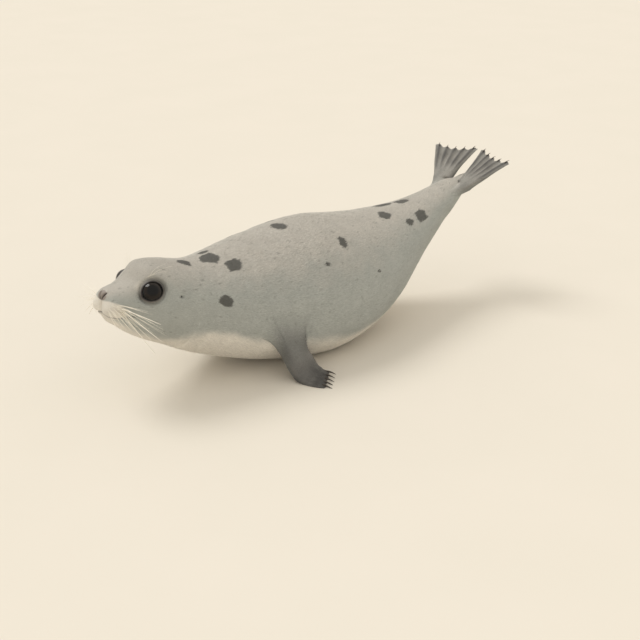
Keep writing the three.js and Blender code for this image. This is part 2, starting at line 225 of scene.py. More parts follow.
mouth = {"corner": 66, "heights": [-25, -33, -34, -29], "depth": 3.4, "width": 1.7}


def mouthHeight(s):
    # the mouth's line, a curve through its heights from the nose to the corner
    return through(mouth["heights"], np.clip(s / mouth["corner"], 0, 1.05) * 3)


def fromSegment(x, v, a, b):
    # distance from a segment in the plane of the face, and how far along it
    d = np.subtract(b, a)
    f = np.clip(((x - a[0]) * d[0] + (v - a[1]) * d[1]) / (d @ d), 0, 1)
    return np.hypot(x - a[0] - f * d[0], v - a[1] - f * d[1]), f


def fineHeight(p, angle):
    # folds, lips, nostrils and the slow waves of the fat, along the outward direction
    x, s, v = np.moveaxis(p, -1, 0)
    lower = smooth(angle, 1.4, 2.4)
    high = blobs(p, fineForms)
    far, f = fromSegment(np.abs(x), v, nose["inner"], nose["outer"])
    slit = np.exp(-((far / nose["width"]) ** 2)) * (0.65 + 0.35 * np.sin(math.pi * f))
    high -= nose["depth"] * slit * (1 - smooth(s, 16, 24))
    lips = v - mouthHeight(s)
    open_ = (1 - smooth(s, mouth["corner"] - 8, mouth["corner"])) * smooth(s, -1, 2)
    high -= mouth["depth"] * bell(lips, 0, mouth["width"]) * open_
    high += 1.1 * bell(lips, 5, 3.2) * open_ + 0.9 * bell(lips, -4.5, 3) * open_
    high -= 1.6 * bell(x, 0, 1.5) * smooth(v, -23, -19) * (1 - smooth(v, 5, 9)) * (1 - smooth(s, 14, 20))
    for place, deep in folds["throat"]:
        high -= deep * bell(s + 0.06 * np.abs(x) + 4 * ripple(p, 130, 14), place, 6.5) * lower
    upper = 1 - smooth(angle, 0.9, 1.5)
    for place, deep in folds["nape"]:
        high -= deep * bell(s + 0.10 * np.abs(x) + 4 * ripple(p, 150, 15), place, 9) * upper
    high -= 1.3 * ripple(p, 150, 4) ** 2 * smooth(s, 300, 460) * (1 - smooth(s, 1200, 1300))
    high -= 0.35 * np.abs(ripple(p, 38, 9)) * smooth(s, 120, 240)
    return high


def eyeFrame(side):
    # centre, line of sight, the way to the front corner square to it, and up, square to both
    centre = np.array(eye["centre"], float)
    looks = unit(np.array(eye["looks"], float))
    front = np.array(eye["corner"], float)
    front = unit(front - looks * (front @ looks))
    up = np.cross(front, looks)
    up = up if up[2] > 0 else -up
    flip = np.array([side, 1, 1])
    return centre * flip, looks * flip, front * flip, up * flip


def fromEye(side, a, b, h):
    # the place that lies a along an eye's corners, b up and h out of it
    centre, looks, front, up = eyeFrame(side)
    return centre + a[..., None] * front + b[..., None] * up + h[..., None] * looks


def cornerStretch(a, b):
    # how much longer the opening is towards its front corner, at middle height
    long_, tall = eye["opening"]
    return 1 + eye["cornerDraw"] * smooth(a / long_, 0.55, 1.1) * bell(b / tall, 0, 0.45)


def lidMeasure(p, side):
    # place of a point over one eye: along the corners, up, out, and its share of the opening's edge
    centre, looks, front, up = eyeFrame(side)
    a, b, h = (dot(p - centre, d)[..., 0] for d in (front, up, looks))
    long_, tall = eye["opening"]
    return a, b, h, np.sqrt((a / (long_ * cornerStretch(a, b))) ** 2 + (b / tall) ** 2)


def shapeLids(p):
    # lids wrap the ball outside the opening; inside it the skin dips under the ball
    reach = np.full(p.shape[:-1], 9.0)
    ball, lidBall, soft = eye["radius"] ** 2, (eye["radius"] + eye["lid"]) ** 2, eye["lidSoft"]
    for side in (1, -1):
        a, b, h, m = lidMeasure(p, side)
        near = (m < 3) & (h > 0)
        snap = near & (np.abs(m - 1) < eye["snap"])
        scale = np.where(snap, 1 / np.maximum(m, 1e-6), 1)
        a, b, m = a * scale, b * scale, np.where(snap, 1, m)
        far2 = a * a + b * b
        lid = np.sqrt(np.maximum(lidBall - far2, 0))
        roll = 0.9 * bell(m, 1.17, 0.10) - 0.9 * bell(m, 1.42, 0.10) * (0.5 + 0.5 * smooth(b, -6, 10))
        roll -= 0.5 * bell(m, 1.75, 0.09) * smooth(-b, 2, 14)
        over = 0.5 * (h + lid + np.sqrt((h - lid) ** 2 + soft**2)) - 0.3 * soft * bell(m, 1, 0.6)
        outside = np.where(far2 < lidBall, over, h + 0.5 * (over - h) * bell(m, 1, 0.5))
        outside = np.where(outside > lid, lid + (outside - lid) * smooth(m, 0.98, 1.5), outside) + roll
        inside = np.sqrt(np.maximum(ball - far2, 0)) - 3
        moved = fromEye(side, a, b, np.where(m >= 0.999, outside, inside))
        p = np.where(near[..., None], moved, p)
        reach = np.where(near, np.minimum(reach, m), reach)
    return p, reach


# the flippers
digits = 5
digitStep = 0.4
fore = {
    "rootAt": 462,
    # out from the midline, back from the root, height over the floor, half width, half thickness
    "path": [[126, -4, 108, 43, 27], [166, 6, 86, 44, 24], [198, 17, 52, 43, 18.5], [221, 27, 20, 44, 15],
             [243, 38, 7.5, 46, 11.5], [263, 50, 4, 48, 8], [281, 61, 2.5, 45, 6]],
    "widthAxis": [0, -1, 0],
    "reach": [0.91, 0.07, 0, 0.02],  # of the digits: middle, slope, crescent, scallop
    "web": 0.35, "claw": [30, 3.6, 20, 0.16, 1.5],  # length, radius, shown, splay, lift
    "leaves": 0.335,  # share of the path where the blend from the body ends
    "hole": [460, 101, 18, 16],  # distance from the nose, degrees from the back, rings and columns
    "rows": 44, "overFloor": True,
}
hind = {
    "rootAt": 1250,
    "path": [[14, -12, -8, 30, 26], [30, 22, 11, 28, 22], [44, 54, 32, 29, 16], [55, 83, 55, 39, 12],
             [66, 111, 79, 53, 9], [75, 139, 101, 66, 6.5], [83, 165, 121, 79, 4.5]],
    "widthAxis": [math.cos(math.radians(8)), 0, math.sin(math.radians(8))],
    "reach": [0.91, 0, 0.07, 0.02],
    "web": 0.5, "claw": [17, 2, 10, 0.3, 2],
    "leaves": 0.36,
    "hole": [1298, 68, 18, 30],
    "rows": 44, "overFloor": False,
}
flipperSoftness = 3


def limbCentres(limb, u):
    # middle, half width and half thickness at a share of the path, curves through its rows
    root = posed(np.array([0.0, limb["rootAt"], 0.0]))
    out, back, high, half, thick = (through(column, u * 6) for column in np.array(limb["path"], float).T)
    lift = 0 if limb["overFloor"] else root[2]
    return np.stack([out, root[1] + back, lift + high], -1), half, thick


def limbFrame(limb, u):
    # ahead is the path's slope, wide the width axis made square to it, and over square to both, upwards
    after, before = (limbCentres(limb, np.clip(u + step, 0, 1))[0] for step in (0.02, -0.02))
    ahead = unit(after - before)
    axis = np.array(limb["widthAxis"], float)
    wide = unit(axis - ahead * dot(axis, ahead))
    over = np.cross(wide, ahead)
    return ahead, wide, np.where(over[..., 2:] < 0, -over, over)


def digitReach(limb, q):
    # share of the path that the edge reaches across the width: a slant, a crescent, a wave for the digits
    middle, slope, crescent, scallop = limb["reach"]
    return middle + slope * q + crescent * q * q + scallop * np.cos(2 * math.pi * q / digitStep)


def limbPoint(limb, u, q, side):
    # a mitten: a path widened by q and thickened over and under, with ridges over the digits
    fingers = smooth(u, 0.45, 0.85)
    reached = u * (1 - fingers + fingers * digitReach(limb, q))
    wave = np.cos(2 * math.pi * q / digitStep)
    centre, half, thick = limbCentres(limb, reached)
    wide, over = limbFrame(limb, reached)[1:]
    ridge = 1 - fingers * limb["web"] * (0.5 - 0.5 * wave)
    knuckles = bell(reached, 0.62, 0.035) + bell(reached, 0.76, 0.03)
    joints = 1 + 0.10 * fingers * (0.5 + 0.5 * wave) ** 2 * knuckles
    tip = 0.4 + 0.6 * smooth(1 - u, 0, 0.09)
    thick = np.maximum(thick * (1 - q * q) ** 0.3 * ridge * joints * tip - 0.5, 0.35)
    place = centre + wide * (q * (half - 0.8))[..., None] + over * (side * thick)[..., None]
    return pressed(place, flipperSoftness) if limb["overFloor"] else place


# the coat's pattern, with painted light on the back and painted shade in the face's hollows, the same for the
# skin and the coat
spots = [
    # distance from nose, degrees from the back (left is positive), half length, half width
    [217, 10, 16, 19], [291, 7, 27, 31], [333, 31, 24, 24], [288, 80, 18.5, 19], [549, -2, 22, 31],
    [698, 37, 20, 22], [590, 51, 9, 8], [796, 70, 7, 8], [840, 59, 3.5, 3.5], [1043, -16, 30, 22],
    [1105, -8, 24, 20], [987, 18, 22, 25], [1040, 46, 17, 16], [1098, 50, 25, 23],
    [246, -34, 19, 13], [305, -14, 15, 12], [312, -54, 17, 14], [372, -64, 13, 12], [448, -36, 20, 15],
    [520, -66, 15, 13], [585, -26, 18, 14], [640, -78, 8, 8], [668, -48, 21, 16], [742, -20, 14, 11],
    [790, -60, 16, 13], [862, -34, 20, 15], [905, -72, 10, 9], [948, -46, 17, 13], [1046, -58, 18, 14],
    [1168, -48, 14, 11],
]
markForms = {
    "pads": [([27, 18, -14], [30, 33, 24], 1.6), ([0, 4, -29], [18, 22, 20], 1.1)],
    "brow": [([50, 84, 44], [30, 30, 26], 1)],
    "ear": [([101, 172, 22], [4, 4, 4], 1)],
}


def markingsAndPaintedLight(base, angle, reach):
    # how far each marking, and the painted light and shade, covers a place of the stretched-out body
    x, s, v = np.moveaxis(base, -1, 0)
    turned = np.degrees(angle)
    turned = np.where(turned > 180, turned - 360, turned)
    half = through(halves, np.interp(s, alongs, np.arange(len(alongs))))
    spot = np.full(s.shape, -1.0)
    wander = 0.16 * ripple(base, 34, 21) + 0.10 * ripple(base, 15, 22)
    for place, degrees, long_, wide in spots:
        across = np.radians(turned - degrees) * half
        spot = np.maximum(spot, 1 - np.hypot((s - place) / long_, across / wide) + wander)
    edge, soft = between(s, trunk["paleFrom"]), between(s, trunk["paleSoft"])
    pale = smooth(np.abs(turned) + 3 * ripple(base, 120, 31), edge - soft, edge + soft)
    pale = np.maximum(pale, smooth(blobs(base, markForms["pads"]), 0.30, 0.85))
    pale = np.maximum(pale, 0.45 * smooth(blobs(base, markForms["brow"]), 0.25, 0.9))
    s0, v0, rx, rs, rv = nose["pad"]
    padEdge = np.sqrt((x / rx) ** 2 + ((s - s0) / rs) ** 2 + ((v - v0) / rv) ** 2) + 0.04 * ripple(base, 9, 5)
    bare = 1 - smooth(padEdge, 0.92, 1.06)
    bare = np.maximum(bare, 1 - smooth(reach, 1.06, 1.16))
    lips = (1 - smooth(s, mouth["corner"] - 6, mouth["corner"])) * smooth(s, 0, 3)
    far = fromSegment(np.abs(x), v, nose["inner"], nose["outer"])[0]
    # deep is painted shade: near black in the nostril slits, along the mouth line, in the ear hole and on the
    # skin in the gap round the eyeball
    deep = (1 - smooth(far, 1.0, 2.3)) * (1 - smooth(s, 16, 24))
    deep = np.maximum(deep, 0.85 * bell(v - mouthHeight(s), -0.3, 1.5) * lips)
    deep = np.maximum(deep, 0.9 * smooth(blobs(base, markForms["ear"]), 0.3, 0.7))
    deep = np.maximum(deep, 0.92 * (1 - smooth(reach, 1.03, 1.13)))
    halo = 0.75 * (1 - smooth(reach, 1.10, 1.45))
    # back is painted light: 1 along the top, where the coat is painted lighter as if lit from above, down to
    # -1 underneath
    return {"pale": pale, "spot": spot, "bare": bare, "dark": halo, "deep": deep, "back": np.cos(angle)}


# the skin: rings round the body, four holes, and a flipper blended into each
blend = {
    "rings": 9,
    "pull": 0.95,  # how far the strands run on along body and flipper
    "passes": 26, "loosen": 0.4,  # of the smoothing
    "before": 0.12,  # share of the flipper's path that the blend stands for
}
unwrap = {
    "body": 0.78, "tail": 0.783,  # heights that the body and its last point reach
    "limbs": [0.80, 0.19], "margin": 0.012,  # start, height and side margin of the flippers' strips
    "cap": 0.9935, "capHigh": 0.003, "capWide": 0.002,  # where the flippers' caps start, and their size
}


def ringStations():
    # stations whose distance along the side outline follows ringSteps
    t = np.linspace(0, lastStation, 12001)
    side, s = through(halves, t), through(alongs, t)
    count = np.hypot(np.diff(side), np.diff(s)) / between(s[1:], trunk["ringSteps"])
    count = np.concatenate([[0], np.cumsum(count)])
    rings = int(count[-1])
    return np.interp(np.arange(1, rings) * (count[-1] / rings), count, t)


def gridCorners(grid):
    # the four corners of each cell of a grid of numbers or places
    return np.stack([grid[:-1, :-1], grid[:-1, 1:], grid[1:, 1:], grid[1:, :-1]], 2)


def wrapped(grid):
    # closed by its own first column
    return np.concatenate([grid, grid[:, :1]], 1)


def triangles(quads):
    # two triangles to a quad, and which of them have an area
    both = np.concatenate([quads[:, [0, 1, 2]], quads[:, [0, 2, 3]]])
    alike = (both[:, 0] == both[:, 1]) | (both[:, 1] == both[:, 2]) | (both[:, 0] == both[:, 2])
    return both, ~alike


def bodyGrid():
    # points by ring and column, their stretched-out places, and what skin and coat read there
    columns = trunk["columns"]
    t, angle = np.meshgrid(ringStations(), np.arange(columns) * (2 * math.pi / columns), indexing="ij")
    base, out = smoothBody(t, angle), outwardAt(t, angle)
    s = base[..., 1]
    depth = between(s, trunk["coatDepth"])
    lower = np.minimum(angle, 2 * math.pi - angle)
    place = base + out * (blobs(base, faceForms) + fineHeight(base, lower) - depth)[..., None]
    place, reach = shapeLids(place)
    values = {
        **markingsAndPaintedLight(base, angle, reach), "long": between(s, trunk["lockLong"]),
        "wide": between(s, trunk["lockWide"]), "lift": depth * 0.95, "limb": np.zeros_like(t), "s": s,
    }
    return pressed(posed(place), trunk["softness"]), base * metre, values


def holeEdge(limb, side, s):
    # rows and columns round a hole, from the middle of its front edge over the top to the rear and back
    # underneath, the body's next place outside each, and the cells within
    columns = trunk["columns"]
    where, degrees, down, across = limb["hole"]
    i0 = int(np.argmin(np.abs(s - where))) - down // 2
    j0 = int(round(degrees / 360 * columns)) - across // 2
    i1, j1, jm = i0 + down, j0 + across, j0 + across // 2
    edge = [(i0, j, -1, 0) for j in range(jm, j0, -1)]
    edge += [(i, j0, -(i == i0), -1) for i in range(i0, i1)]
    edge += [(i1, j, 1, -(j == j0)) for j in range(j0, j1)]
    edge += [(i, j1, (i == i1), 1) for i in range(i1, i0, -1)]
    edge += [(i0, j, -1, (j == j1)) for j in range(j1, jm, -1)]
    row, column, stepRow, stepColumn = np.array(edge).T
    if side < 0:
        column, stepColumn = (columns - column) % columns, -stepColumn
        j0, j1 = (columns - j1) % columns, (columns - j0) % columns
    return (row, column), (row + stepRow, (column + stepColumn) % columns), np.s_[i0:i1, j0:j1]


def flipperRings(limb, side, count):
    # the flipper's own rings, closer together towards the tip
    f = np.arange(count) / count
    half = np.where(f <= 0.5, f * 2, 2 - f * 2)
    q = 0.55 * np.cos(math.pi * half) + 0.45 * (1 - 2 * half)
    upper = np.where((f > 0) & (f < 0.5), 1.0, np.where(f > 0.5, -1.0, 0.0))
    rowShare = np.arange(limb["rows"] + 1) / limb["rows"]
    u = limb["leaves"] + (1 - limb["leaves"]) * (1 - (1 - rowShare) ** 1.2)
    us, qs = np.meshgrid(u, q, indexing="ij")
    return u, q, upper, limbPoint(limb, us, qs, np.broadcast_to(upper, us.shape)) * (side, 1, 1)


def blendRows(hole, beyond, blade):
    # each strand leaves along the body and arrives along the flipper, and all are then evened out
    holeWay, bladeWay = unit(hole - beyond), unit(blade[1] - blade[0])
    gap = np.linalg.norm(blade[0] - hole, axis=-1, keepdims=True)
    strands = [hole]
    for g in np.arange(1, blend["rings"]) / blend["rings"]:
        strand = (2 * g**3 - 3 * g**2 + 1) * hole + (3 * g**2 - 2 * g**3) * blade[0]
        run = (g**3 - 2 * g**2 + g) * holeWay + (g**3 - g**2) * bladeWay
        strands.append(strand + run * gap * blend["pull"])
    strands = np.stack(strands + [blade[0]])
    for _ in range(blend["passes"]):
        loose = (np.roll(strands, 1, 1) + np.roll(strands, -1, 1)) / 2
        loose[1:-1] = (loose[1:-1] + (strands[:-2] + strands[2:]) / 2) / 2
        strands[1:-1] = (1 - blend["loosen"]) * strands[1:-1] + blend["loosen"] * loose[1:-1]
    return strands[1:-1]


def flipperValues(limb, u, q, upper, rows):
    # what holds on the flipper, and between which shares of the blend it takes over from the body
    if limb is fore:
        dark = 0.84 + 0.12 * smooth(u, 0.34, 0.6) - 0.08 * ripple(rows, 60, 3)
    else:
        wave = 0.5 + 0.5 * np.cos(2 * math.pi * q / digitStep)
        fingers = smooth(u, 0.42, 0.7)
        dark = 0.50 + 0.08 * fingers + 0.42 * fingers * wave**2 - 0.08 * ripple(rows, 50, 3)
    longer = 6.5 - 2.6 * smooth(u, 0.45, 1)
    usual, early, atOnce = (0.1, 1.3), (-0.3, 0.45), (-2, -1)
    return {
        # back on a flipper is painted light: its upper side takes the lighter colour of the body's top
        "pale": (0, usual), "spot": (-1, usual), "bare": (0, usual), "deep": (0, usual),
        "back": (upper * 0.8, usual), "dark": (dark, (-0.2, 0.8)), "long": (longer, early),
        "wide": (longer * 0.24, early), "lift": (0.55, early),
        "limb": (1 if limb is fore else 2, atOnce), "s": (limb["hole"][0], atOnce),
    }


def flipperFaces(patch, loops):
    # strips between the rings and a cap on the last one, and their places on the unwrap
    total, count = len(loops) - 1, len(loops[0])
    left, right = patch / 4 + unwrap["margin"], (patch + 1) / 4 - unwrap["margin"]
    across = left + (right - left) * np.arange(count + 1) / count
    low, high = unwrap["limbs"]
    places = np.stack(np.meshgrid(across, low + high * np.arange(total + 1) / total), -1)
    turned = [1, 0, 3, 2]
    strip = gridCorners(wrapped(loops))[..., turned].reshape(-1, 4)
    stripUv = gridCorners(places)[:, :, turned].reshape(-1, 4, 2)
    end, m = loops[-1], np.arange(count // 2)
    cap = np.stack([end[m + 1], end[m], end[(count - m) % count], end[count - m - 1]], -1)
    capU = across[m][:, None] + np.array([1, 0, 0, 1]) * unwrap["capWide"]
    capV = unwrap["cap"] + np.array([0, 0, 1, 1]) * unwrap["capHigh"]
    capUv = np.stack(np.broadcast_arrays(capU, capV), -1)
    return np.concatenate([strip, cap]), np.concatenate([stripUv, capUv])


def buildSkin():
    # points: the nose's tip, the body's rings, the four flippers, the tail's tip
    columns = trunk["columns"]
    points, flow, values = bodyGrid()
    lie = np.gradient(points, axis=0)
    rings = len(points)
    index = 1 + np.arange(rings * columns).reshape(rings, columns)
    keep = np.ones((rings - 1, columns), bool)
    parts = {
        "points": [posed(np.array([[0, 2.9, 0]])), points.reshape(-1, 3)],
        "flow": [np.zeros((1, 3)), flow.reshape(-1, 3)],
        "lie": [np.array([[0, 1.0, 0]]), lie.reshape(-1, 3)],
        **{name: [grid[:1, 0], grid.reshape(-1)] for name, grid in values.items()},
    }
    faces, corners = [], []
    used = 1 + rings * columns

    for patch, (limb, side) in enumerate(((fore, 1), (fore, -1), (hind, 1), (hind, -1))):
        edge, beyond, within = holeEdge(limb, side, values["s"][:, 0])
        keep[within] = False
        count = len(edge[0])
        u, q, upper, blade = flipperRings(limb, side, count)
        rows = np.concatenate([blendRows(points[edge], points[beyond], blade), blade])
        if limb["overFloor"]:
            rows[..., 2] = np.maximum(rows[..., 2], 0)
        total = len(rows)
        uBlend = np.linspace(limb["leaves"] - blend["before"], limb["leaves"], blend["rings"] + 1)[1:-1]
        u = np.concatenate([uBlend, u])[:, None]
        share = np.arange(total)[:, None] / blend["rings"]
        for name, (value, (start, full)) in flipperValues(limb, u, q, upper, rows).items():
            g = smooth(share, start, full)
            parts[name].append((values[name][edge] * (1 - g) + value * g).reshape(-1))
        flow = np.stack(np.broadcast_arrays(q * 60, u * 330, upper * 30), -1)
        parts["flow"].append((flow * metre + 3 * patch).reshape(-1, 3))
        parts["points"].append(rows.reshape(-1, 3))
        turn = smooth(share, 0.2, 1.5)[..., None]
        way = unit(np.gradient(rows, axis=0)) * turn + np.array([0, 1.0, 0.1]) * (1 - turn)
        parts["lie"].append(way.reshape(-1, 3))
        loops = np.concatenate([index[edge][None], used + np.arange(total * count).reshape(total, count)])
        quads, quadUv = flipperFaces(patch, loops)
        faces.append(quads[:, ::side])
        corners.append(quadUv[:, ::side])
        used += total * count

    # the body's own faces, and the fans round its two tips
    loops = wrapped(index)
    around = np.arange(columns + 1) / columns
    high = (np.arange(rings) + 1) / (rings + 1) * unwrap["body"]
    places = np.stack(np.meshgrid(around, high), -1)
    middle = (around[:-1] + around[1:]) / 2
    noseUv, tailUv = (np.stack([middle, np.full(columns, v)], -1) for v in (0, unwrap["tail"]))
    tip, tail = np.zeros(columns, int), np.full(columns, used)
    faces += [gridCorners(loops)[keep], np.stack([tip, loops[0, 1:], index[0], index[0]], -1),
              np.stack([index[-1], loops[-1, 1:], tail, tail], -1)]
    first, last = places[0], places[-1]
    corners += [gridCorners(places)[keep], np.stack([noseUv, first[1:], first[:-1], first[:-1]], 1),
                np.stack([last[:-1], last[1:], tailUv, tailUv], 1)]
    parts["points"].append(posed(np.array([[0, bodyLong - 1.0, 0]])))
    parts["flow"].append(np.array([[0, bodyLong * metre, 0]]))
    parts["lie"].append(lie[-1:, 0])
    for name, grid in values.items():
        parts[name].append(grid[-1:, 0])

    tris, real = triangles(np.concatenate(faces))
    quadUv = np.concatenate(corners)
    triUv = np.concatenate([quadUv[:, [0, 1, 2]], quadUv[:, [0, 2, 3]]])
    usedPoints, tris = np.unique(tris[real], return_inverse=True)
    skin = {name: np.concatenate(stack)[usedPoints] for name, stack in parts.items()}
    skin["tris"], skin["triUv"] = tris.reshape(-1, 3), triUv[real]
    return skin


def pointNormals(points, tris):
    # the mean of the faces round a point, by area
    a, b, c = points[tris.T]
    face = np.cross(b - a, c - a)
    total = [sum(np.bincount(corner, along, len(points)) for corner in tris.T) for along in face.T]
    return unit(np.stack(total, -1))


skin = buildSkin()
skin["normal"] = pointNormals(skin["points"], skin["tris"])
print("skin:", len(skin["tris"]), "triangles")


# shader nodes
class Socket:
    # a node's output that takes Python's operators
    def __init__(self, nodes, output):
        self.nodes, self.output = nodes, output

    def maths(self, operation, first, second):
        return self.nodes.add("ShaderNodeMath", {"operation": operation}, {0: first, 1: second})

    def __add__(self, other):
        return self.maths("ADD", self, other)

    def __radd__(self, other):
        return self.maths("ADD", other, self)

    def __sub__(self, other):
        return self.maths("SUBTRACT", self, other)

    def __rsub__(self, other):
        return self.maths("SUBTRACT", other, self)

    def __mul__(self, other):
        return self.maths("MULTIPLY", self, other)

    def __rmul__(self, other):
        return self.maths("MULTIPLY", other, self)


class Finish:
    # one material and its nodes
    def __init__(self, name, **same):
        self.material = bpy.data.materials.new(name)
        self.material.use_nodes = True
        self.tree = self.material.node_tree
        self.shader = self.tree.nodes["Principled BSDF"]
        for socket, value in same.items():
            self.shader.inputs[socket.replace("_", " ")].default_value = value

    def add(self, kind, settings=None, inputs=None, output=0):
        node = self.tree.nodes.new(kind)
        for name, value in (settings or {}).items():
            setattr(node, name, value)
        for name, value in (inputs or {}).items():
            self.feed(node.inputs[name], value)
        return Socket(self, node.outputs[output])

    def feed(self, socket, value):
        if isinstance(value, Socket):
            self.tree.links.new(value.output, socket)
        else:
            socket.default_value = value

    def attribute(self, name, output="Fac"):
        return self.add("ShaderNodeAttribute", {"attribute_name": name}, output=output)

    def objectPlace(self):
        return self.add("ShaderNodeTexCoord", output="Object")

    def scaled(self, vector, by):
        return self.add("ShaderNodeVectorMath", {"operation": "MULTIPLY"}, {0: vector, 1: by})

    def noise(self, place, scale, detail):
        return self.add("ShaderNodeTexNoise", {}, {"Vector": place, "Scale": scale, "Detail": detail})

    def range(self, value, low, high):
        # 0 under low, 1 over high
        return self.add("ShaderNodeMapRange", {"interpolation_type": "SMOOTHSTEP"},
                        {"Value": value, "From Min": low, "From Max": high})

    def mix(self, factor, first, second):
        return self.add("ShaderNodeMix", {"data_type": "RGBA"}, {0: factor, 6: first, 7: second}, output=2)

    def shade(self, colour, by):
        # a colour times a number
        return self.add("ShaderNodeVectorMath", {"operation": "SCALE"}, {0: colour, "Scale": by})

    def bump(self, height, strength, distance):
        return self.add("ShaderNodeBump", {}, {"Height": height, "Strength": strength, "Distance": distance})

    def end(self, **links):
        for socket, value in links.items():
            self.feed(self.shader.inputs[socket.replace("_", " ")], value)
        return self.material


def colour(red, green, blue):
    # screen values from 0 to 255 as light
    def light(c):
        c /= 255
        return c / 12.92 if c <= 0.04045 else ((c + 0.055) / 1.055) ** 2.4
    return (light(red), light(green), light(blue), 1)


coatColours = {
    # back is painted light: the flank's grey made lighter for the top of the body
    "flank": colour(182, 185, 180), "back": colour(196, 192, 184), "belly": colour(236, 231, 221),
    "spot": colour(92, 92, 88), "fleck": colour(134, 134, 128), "flipper": colour(94, 93, 91),
    # deep is painted shade for the nostril slits, mouth line, ear hole and the gap round the eyeball
    "bare": colour(144, 135, 128), "deep": colour(30, 26, 26),
}


def furFinish(name, lock):
    fur = Finish(name, Sheen_Weight=0.12, Sheen_Roughness=0.45, Specular_IOR_Level=0.35)
    flow = fur.attribute("flow", "Vector")
    strand = fur.noise(fur.scaled(flow, (1, 0.10, 1)), 620, 3)
    mottle = fur.noise(flow, 22, 3)
    small = fur.noise(fur.scaled(flow, (1, 0.7, 1)), 95, 2)
    back, pale = fur.attribute("back"), fur.attribute("pale")
    # painted light: where back is high, on the top, the flank's grey turns to the lighter back colour
    upper = fur.range(back + (mottle - 0.5) * 0.5, 0.25, 1.0)
    mixed = fur.mix(upper, coatColours["flank"], coatColours["back"])
    flecks = fur.range(small + back * 0.03, 0.665, 0.72) * 0.5
    mixed = fur.mix(flecks, mixed, coatColours["fleck"])
    mixed = fur.mix(fur.range(pale + (mottle - 0.5) * 0.3, 0.2, 0.8), mixed, coatColours["belly"])
    spot = fur.range(fur.attribute("spot") + (small - 0.5) * 0.25, -0.05, 0.14)
    mixed = fur.mix(spot * 0.95, mixed, coatColours["spot"])
    mixed = fur.mix(fur.attribute("dark"), mixed, coatColours["flipper"])
    bare = fur.attribute("bare")
    mixed = fur.mix(bare, mixed, coatColours["bare"])
    # painted shade: near black in the nostrils, the mouth line, the ear hole and the gap round the eyeball
    mixed = fur.mix(fur.attribute("deep"), mixed, coatColours["deep"])
    light = 0.90 + (strand - 0.5) * 0.22 + (mottle - 0.5) * 0.14
    if lock:
        # tip is painted shade down in the coat: each lock darker at its root and lighter at its tip; tone is
        # a random shift
        light = light + fur.attribute("tone") * 0.10 + fur.attribute("tip") * 0.13
    else:
        # painted shade: furred skin a little darker, as if shaded by the locks over it
        light = light - (1 - bare) * 0.06
    cells = fur.add("ShaderNodeTexVoronoi", {}, {"Vector": flow, "Scale": 900.0})
    height = strand * (1 - bare) + cells * bare * 0.5
    return fur.end(
        Base_Color=fur.shade(mixed, light),
        Roughness=0.62 - bare * 0.26 + (strand - 0.5) * 0.12,
        Normal=fur.bump(height, 0.35 if lock else 0.6, 0.0008),
    )


def addPiece(name, points, tris, material, attributes=None, uv=None, nodes=()):
    # points in millimetres, triangles by point number; attributes hold a value for every point
    mesh = bpy.data.meshes.new(name)
    mesh.vertices.add(len(points))
    mesh.vertices.foreach_set("co", (points * metre).astype(np.float32).ravel())
    mesh.loops.add(3 * len(tris))
    mesh.loops.foreach_set("vertex_index", tris.astype(np.int32).ravel())
    mesh.polygons.add(len(tris))
    mesh.polygons.foreach_set("loop_start", np.arange(0, 3 * len(tris), 3, dtype=np.int32))
    mesh.polygons.foreach_set("use_smooth", np.full(len(tris), True))
    for key, values in (attributes or {}).items():
        vector = np.ndim(values) == 2
        layer = mesh.attributes.new(key, "FLOAT_VECTOR" if vector else "FLOAT", "POINT")
        layer.data.foreach_set("vector" if vector else "value", np.asarray(values, np.float32).ravel())
    if uv is not None:
        mesh.uv_layers.new(name="OFBake").data.foreach_set("uv", uv.astype(np.float32).ravel())
    mesh.update(calc_edges=True)
    mesh.validate()
    piece = bpy.data.objects.new(name, mesh)
    bpy.context.scene.collection.objects.link(piece)
    mesh.materials.append(material)
    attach(piece, "root")
    if nodes:
        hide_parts(*nodes)


marksAndPaintedLight = ("pale", "spot", "bare", "dark", "deep", "back", "flow")
fleshNodes = ["head", "neck", "chest", "belly", "loins", "rump", "tail", "lower_jaw", "nose"]
for side in ("left", "right"):
    fleshNodes += [f"{side}_{part}" for part in ("whisker_pad", "fore_flipper", "hind_flipper")]
addPiece("skin", skin["points"], skin["tris"], furFinish("skin fur", False),
         {name: skin[name] for name in marksAndPaintedLight}, skin["triUv"], nodes=fleshNodes)


# the coat: short locks that lie along the body, in pieces
coat = {
    # name: distances from the nose, locks
    "trunk": {"head": (0, 215, 47000), "neck": (215, 345, 36000), "chest": (345, 555, 46000),
              "belly": (555, 755, 46000), "loins": (755, 960, 46000), "rump": (960, 1410, 46000)},
    "limbs": {"fore_flippers": (1, 30000), "hind_flippers": (2, 32000)},
    "stray": 0.15,  # how far locks turn from the lie
    "sunk": 0.3,  # depth of a root under the skin
    "bareFrom": 0.45,  # skin that is barer than this has no locks
    "patch": 0.003, "margin": 0.003,  # a lock's size on the unwrap, and the unwrap's own edge
    "clear": 0.15,  # least height of a lock over the floor
    "pressed": [1.6, -0.7],  # no locks where the skin is lower and faces further down than this
}


